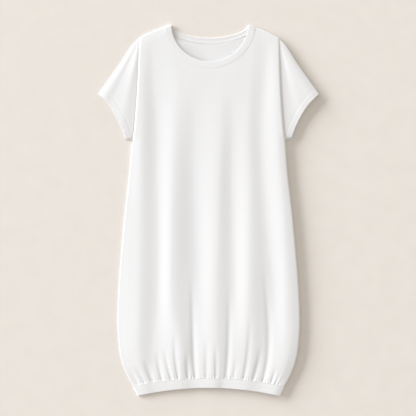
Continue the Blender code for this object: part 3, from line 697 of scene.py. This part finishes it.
# %% Rings of rib
TURN_RADIUS, TURN_STEPS = 0.0002, 15  # inside of the turn at a ring's two ends
RIDGE_RUN_OUT, NECK_TURN_SLACK = 0.020, 0.001
NECK_SEAM_STEP = -0.0002  # from the front down to the neck band, which stands a little higher
NECK_SINK, HEM_SINK = 0.0002, 0.0001  # a band's free edge lies this much lower than its seam
CLOSE_SEAM = 0.00002
RIBS, RIB_STEPS, RIB_RELIEF, CROWN = 96, 8, 0.02, 0.05
RIDGE = 0.0003  # height of the swelling beside the back neck band's edges
SWELLS = ((0.12, 0.10, 1.0), (0.86, 0.10, 1.3))  # place across the band, half width, share of a ridge
SEAM_ROUND, FOLD_ROUND = 0.00020, 0.00045
CORNER_STEPS, FACE_STEPS = 6, 12
NECK_FRONT_POINTS, NECK_BACK_POINTS, HEM_BACK_POINTS, FINE_EDGE = 240, 200, 260, 801
INSET = TURN_RADIUS + BAND
TURNED = BAND + 2 * TURN_RADIUS


def ring_path(front_line, back_line, front_heights, outward):
    """One edge of a band's inner face: along the front, half an ellipse down, the back, and one up."""
    angle = math.pi * np.arange(1, TURN_STEPS + 1) / (TURN_STEPS + 1)
    sideways = TURN_RADIUS * np.sin(angle)[:, None]
    down = 0.5 * (1 + np.cos(angle))
    right, left = (
        in_frame(front_line[k] + sideways * np.array(way), BAND + (front_heights[k] - BAND) * down)
        for k, way in ((0, outward[0]), (-1, outward[1]))
    )
    return np.vstack((in_frame(front_line, front_heights), left, in_frame(back_line, BAND), right[::-1]))


def away_from_turns(line):
    """0 at both ends of a line and 1 between, with an eased rise."""
    along = arc_length(line)
    return eased(np.minimum(along, along[-1] - along) / RIDGE_RUN_OUT)


def rounded_section(width, radii):
    """A band's section as pairs (share across, share of thickness): a bar with a round at each edge.

    Each corner is a quarter circle of its edge's radius, and the faces are slightly crowned.
    """
    turn = np.linspace(0, 0.5 * math.pi, CORNER_STEPS)
    flat = np.linspace(0, 1, FACE_STEPS)[1:-1]
    near, far = radii
    low_far = np.column_stack((width - far + far * np.sin(turn), far - far * np.cos(turn)))
    low_near = np.column_stack((near - near * np.cos(turn), near - near * np.sin(turn)))
    bottom = np.column_stack((near + flat * (width - near - far), 0 * flat))
    lower = np.vstack((low_near, bottom, low_far))
    upper = lower[::-1] * (1.0, -1.0) + (0.0, BAND)
    section = np.vstack((lower, upper)) / (width, BAND)
    crown = CROWN * (2 * section[:, 0] - 1) ** 2 * (2 * section[:, 1] - 1)
    return section - np.column_stack((0 * crown, crown))


def ring_of_rib(name, upper, lower, relief, section, material, ridged=0.0):
    """Carries the section round the ring: point = upper + s (lower - upper) + t thickness normal.

    Where ridged is 1, the inner face swells beside both edges, over the fold and the seam's turnings.
    """
    along = np.roll(upper + lower, -1, axis=0) - np.roll(upper + lower, 1, axis=0)
    normal = np.cross(along, lower - upper)
    normal /= np.linalg.norm(normal, axis=1)[:, None]
    s, t = section[:, 0][None, :, None], section[:, 1][None, :, None]
    thickness = BAND * (1 - relief[:, None, None] * np.clip(2 * t - 1, 0, 1))
    swell = sum(ridge * np.exp(-(((s - place) / half) ** 2)) for place, half, ridge in SWELLS)
    inwards = np.clip(1 - 2 * t, 0, 1) * RIDGE * swell * np.reshape(ridged, (-1, 1, 1))
    points = upper[:, None] + s * (lower - upper)[:, None] + (t * thickness - inwards) * normal[:, None]
    rows, columns = points.shape[:2]
    faces = grid_faces(rows, columns, closed_rows=True, closed_columns=True)
    run = np.concatenate(([0.0], arc_length(0.5 * (upper + lower))[1:]))
    width = np.linalg.norm(lower - upper, axis=1).mean()
    uv = np.stack(np.broadcast_arrays(run[:, None], s[..., 0] * width), -1).reshape(-1, 2)
    return new_piece(name, points.reshape(-1, 3), faces, material, uv)


def beside_seam(edge, samples):
    """A line a seam's gap inside a panel's neck edge, ending where the band turns."""
    along = np.gradient(edge, axis=0)
    inward = np.column_stack((-along[:, 1], along[:, 0])) / np.linalg.norm(along, axis=1)[:, None]
    line = edge + CLOSE_SEAM * inward
    end = np.array((NECK_SEAM_HALF - NECK_TURN_SLACK, NECK_SEAM_TOP + INSET))
    middle = line[line[:, 1] > end[1] + 0.0003]
    return even_steps(np.vstack((end, middle, end * (-1.0, 1.0))), samples)


print("a ring of rib is", round(1000 * TURNED, 1), "mm high where it turns")

# %% [markdown]
# ## Neck band
# The neck band turns at the shoulders. Beside its seam its outer face stands a fifth of a millimetre
# above the front, and its folded edge lies as much lower again.

# %% Neck band
def neck_edges(side, samples):
    """The neck band's free edge and its seam on one side of the dress, both from right to left."""
    free = neck_curve(NECK_HALF, INSET, NECK_DROP[side] - INSET, NECK_ROUNDNESS[side], samples)
    return free, beside_seam(neck_seam(side, FINE_EDGE), samples)


front_free, front_seam = neck_edges("front", NECK_FRONT_POINTS)
back_free, back_seam = (edge[::-1] for edge in neck_edges("back", NECK_BACK_POINTS))
beside = front_height(front_seam + (0.0, 2 * RIGHT_ROLL)) - BAND - NECK_SEAM_STEP
upwards = ((0.0, -1.0), (0.0, -1.0))
sunk = NECK_SINK * away_from_turns(front_free)
free = ring_path(front_free, back_free, np.maximum(beside - sunk, TURNED), upwards)
seam = ring_path(front_seam, back_seam, np.maximum(beside, TURNED), upwards)
at_back = np.zeros(len(free))
at_back[-len(back_free) - TURN_STEPS : -TURN_STEPS] = away_from_turns(back_free)
neck_section = rounded_section(NECK_BAND_WIDTH, (FOLD_ROUND, SEAM_ROUND))
neck_band = ring_of_rib("neck_rib_band", free, seam, np.zeros(len(free)), neck_section, RIB, at_back)

print("neck ring", len(neck_band.data.polygons), "faces")

# %% [markdown]
# ## Hem band
# The hem band turns at the sides and follows the body's long folds at its seam. Only the front half
# shows its ribs as real waves.

# %% Hem band
across = np.linspace(1, -1, RIB_STEPS * RIBS + 1)
back_across = np.linspace(-1, 1, HEM_BACK_POINTS)
seam_size, free_size = (HEM_HALF_TOP, HEM_TOP_DEPTH + CLOSE_SEAM), (HEM_HALF_BOTTOM, HEM_BOTTOM_DEPTH)
inner, back_inner = across * (1 - INSET / HEM_HALF_TOP), back_across * (1 - INSET / HEM_HALF_TOP)
hem_seam, hem_free = hem_row(*seam_size, inner), hem_row(*free_size, inner)
lean = LAY_LEAN * hem_seam[:, 0] / LAY_LEAN_REACH - LAY_SINK
beside = body_level(hem_seam) + PANEL_WALL + lean - BAND
beside -= edge_fall(hem_seam[:, 0], HEM_HALF_TOP - np.abs(hem_seam[:, 0]))
sideways = ((1.0, 0.0), (-1.0, 0.0))
seam = ring_path(hem_seam, hem_row(*seam_size, back_inner), np.maximum(beside, TURNED), sideways)
free = ring_path(hem_free, hem_row(*free_size, back_inner), np.maximum(beside - HEM_SINK, TURNED), sideways)
rib_waves = np.zeros(len(seam))
rib_waves[: len(across)] = RIB_RELIEF * (1 - np.cos(math.pi * RIBS * (1 - across)))
hem_section = rounded_section(HEM_BAND_WIDTH, (SEAM_ROUND, FOLD_ROUND))
hem_band = ring_of_rib("hem_rib_band", seam, free, rib_waves, hem_section, RIB)
print("hem ring", len(hem_band.data.polygons), "faces")

# %% [markdown]
# ## Sleeve hems
# Each sleeve's hem is turned under once and held by two rows of straight stitches. The cloth's
# height already has the groove. The stitches are meant as short rounded bars laid in it, and a note
# in the cell says why they have no shape yet.

# %% Stitches
STITCH_INSETS, STITCH_PITCH, STITCH_LENGTH = (0.0155, 0.0185), 0.0032, 0.0027
THREAD_RADIUS, THREAD_LIFT, THREAD_FILL = 0.00028, 0.4, 0.98  # lift is a share of the radius
BAR_STEPS, BAR_SIDES = 7, 6
STITCH_REACH = 0.0005  # the direction is measured this far to both sides of a stitch
FOLD_CLEAR, TOP_CLEAR, FINE_CUFF = 0.002, 0.0015, 600


def bar_of_thread(length, radius):
    """A stitch lying along x: a tube of radius r sqrt(1 - t^6), full along most of it, small at its ends."""
    t = np.linspace(-1, 1, BAR_STEPS)[:, None]
    angle = 2 * math.pi * np.arange(BAR_SIDES)[None, :] / BAR_SIDES
    around = radius * np.sqrt(1 - (THREAD_FILL * t) ** 6)
    parts = (0.5 * length * t + 0 * angle, around * np.cos(angle), around * np.sin(angle))
    faces = grid_faces(BAR_STEPS, BAR_SIDES, closed_columns=True)[:, ::-1]
    return np.stack(parts, -1).reshape(-1, 3), faces


def stitch_line(inset):
    """A line at this distance inside the right cuff, cut off at the armhole fold and the sleeve's top."""
    cuff = smooth_line(CUFF["front"], FINE_CUFF)
    along = np.gradient(cuff, axis=0)
    inward = np.column_stack((-along[:, 1], along[:, 0])) / np.linalg.norm(along, axis=1)[:, None]
    line = cuff + (inset - HEM_TAPER * np.linspace(0, 1, FINE_CUFF))[:, None] * inward
    clear = line[:, 0] > np.interp(line[:, 1], FOLD_LINE[:, 1], FOLD_LINE[:, 0]) + FOLD_CLEAR
    return line[clear & (away_from(line, TOP_EDGE) > TOP_CLEAR)]


def stitch_rows(name, mirror):
    """All stitches of a sleeve: the same bar at each centre, turned into the line's direction there."""
    bar, bar_faces = bar_of_thread(STITCH_LENGTH, THREAD_RADIUS)
    points, faces = [], []
    for inset in STITCH_INSETS:
        line = stitch_line(inset)
        places = even_steps(line, int(arc_length(line)[-1] / STITCH_PITCH) + 1) * (mirror, 1.0)
        # known fault: the pair multiplies across and along instead of the two copies, so both steps
        # are equal, a bar gets no direction, and its points have no value
        steps = (-STITCH_REACH, STITCH_REACH) * unit_along(places)
        ends = [in_frame(places + step, front_height(places + step)) for step in steps]
        along = ends[1] - ends[0]
        along /= np.linalg.norm(along, axis=1)[:, None]
        sideways = np.cross((0.0, 0.0, 1.0), along)
        sideways /= np.linalg.norm(sideways, axis=1)[:, None]
        upward = np.cross(along, sideways)
        centre = 0.5 * (ends[0] + ends[1]) + THREAD_RADIUS * THREAD_LIFT * upward
        axes = np.stack((along, sideways, upward), 1)
        first = sum(len(part) for part in points)
        points.append((centre[:, None] + np.einsum("pk,nkc->npc", bar, axes)).reshape(-1, 3))
        faces.append((first + np.arange(len(centre))[:, None, None] * len(bar) + bar_faces).reshape(-1, 4))
    return new_piece(name, np.vstack(points), np.vstack(faces), THREAD)


def unit_along(places):
    """Two copies of the direction along a line at each of its places."""
    along = np.gradient(places, axis=0)
    return np.stack([along / np.linalg.norm(along, axis=1)[:, None]] * 2)


right_stitches = stitch_rows("right_sleeve_stitches", 1.0)
left_stitches = stitch_rows("left_sleeve_stitches", -1.0)
print("stitch faces on a sleeve:", len(right_stitches.data.polygons))

# %% [markdown]
# ## What each piece is
# Each cloth piece replaces the plain solid of the same form, which is hidden, and hangs from the root like
# the stitches.

for piece, node, slot in (
    (front, "front_panel", "front_jersey"),
    (back, "back_panel", "back_jersey"),
    (neck_band, "neck_band", "neck_rib"),
    (hem_band, "hem_band", "hem_rib"),
):
    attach(piece, "root")
    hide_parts(node)
for piece in (right_stitches, left_stitches):
    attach(piece, "root")


def surface_area(piece):
    """The area of a piece's faces in square metres, before it has a wall."""
    areas = np.empty(len(piece.data.polygons))
    piece.data.polygons.foreach_get("area", areas)
    return float(areas.sum())


print("areas:", [round(surface_area(piece), 4) for piece in (front, back, neck_band, hem_band)])

# %% [markdown]
# ## Floor, light and camera
# The dress is photographed on a warm pale surface. One broad window low on the left, slightly cool,
# makes the folds show. An even, slightly warm room light fills them, and the camera looks straight
# down.

# %% Stage
FLOOR_COLOURS = ((0.823, 0.764, 0.706), (0.878, 0.823, 0.766))
FLOOR_SIZE, FLOOR_HEIGHT, FLOOR_ROUGHNESS, FLOOR_SHINE = 12, -0.0002, 0.95, 0.1
ROOM_COLOUR, ROOM_STRENGTH = (1.0, 0.965, 0.905, 1.0), 0.60
WINDOW_PLACE, WINDOW_WIDTH, WINDOW_HEIGHT = (-34.3, 18.5, 8.03), 36.3, 10.6
WINDOW_POWER, WINDOW_COLOUR = 37100, (0.90, 0.938, 1.0)
PIXEL, PIXELS_ACROSS = 0.00265, 416  # the photograph's scale on the floor
LENS, SENSOR, CAMERA_ACROSS, CAMERA_UP = 100.0, 36.0, -PIXEL, 0.006
CAMERA_HEIGHT = PIXELS_ACROSS * PIXEL * LENS / SENSOR


def light(name, place, target, width, height, power, colour):
    """A rectangular area light that faces its target."""
    lamp = bpy.data.lights.new(name, "AREA")
    lamp.shape, lamp.size, lamp.size_y, lamp.energy, lamp.color = "RECTANGLE", width, height, power, colour
    holder = bpy.data.objects.new(name, lamp)
    holder.location = place
    holder.rotation_euler = (Vector(target) - Vector(place)).to_track_quat("-Z", "Y").to_euler()
    bpy.context.scene.collection.objects.link(holder)


bpy.ops.mesh.primitive_plane_add(size=FLOOR_SIZE, location=(0, 0, FLOOR_HEIGHT))
floor = bpy.context.object
floor.name = "floor"
sand = bpy.data.materials.new("warm_floor")
sand.use_nodes = True
sand_shader = sand.node_tree.nodes["Principled BSDF"]
sand_start = Wire(sand.node_tree)
sand_place = sand_start.node("ShaderNodeTexCoord", {}, {}, output="Object")
sand_tone = mixed(sand_start, noise(sand_start, sand_place, *SAND), *FLOOR_COLOURS)
sand.node_tree.links.new(sand_shader.inputs["Base Color"], sand_tone.socket)
sand_shader.inputs["Roughness"].default_value = FLOOR_ROUGHNESS
sand_shader.inputs["Specular IOR Level"].default_value = FLOOR_SHINE
floor.data.materials.append(sand)

bpy.context.scene.view_settings.view_transform = "Standard"
world = bpy.data.worlds.new("soft_room")
bpy.context.scene.world = world
world.use_nodes = True
background = world.node_tree.nodes["Background"]
background.inputs["Color"].default_value = ROOM_COLOUR
background.inputs["Strength"].default_value = ROOM_STRENGTH
light("window", WINDOW_PLACE, (0, 0, 0), WINDOW_WIDTH, WINDOW_HEIGHT, WINDOW_POWER, WINDOW_COLOUR)

camera = bpy.data.cameras.new("camera")
camera.lens, camera.sensor_width = LENS, SENSOR
viewer = bpy.data.objects.new("camera", camera)
viewer.location = (CAMERA_ACROSS, CAMERA_UP, CAMERA_HEIGHT)
bpy.context.scene.collection.objects.link(viewer)
bpy.context.scene.camera = viewer
print("camera", round(CAMERA_HEIGHT, 3), "m above the floor")

# %% [markdown]
# ## Finish
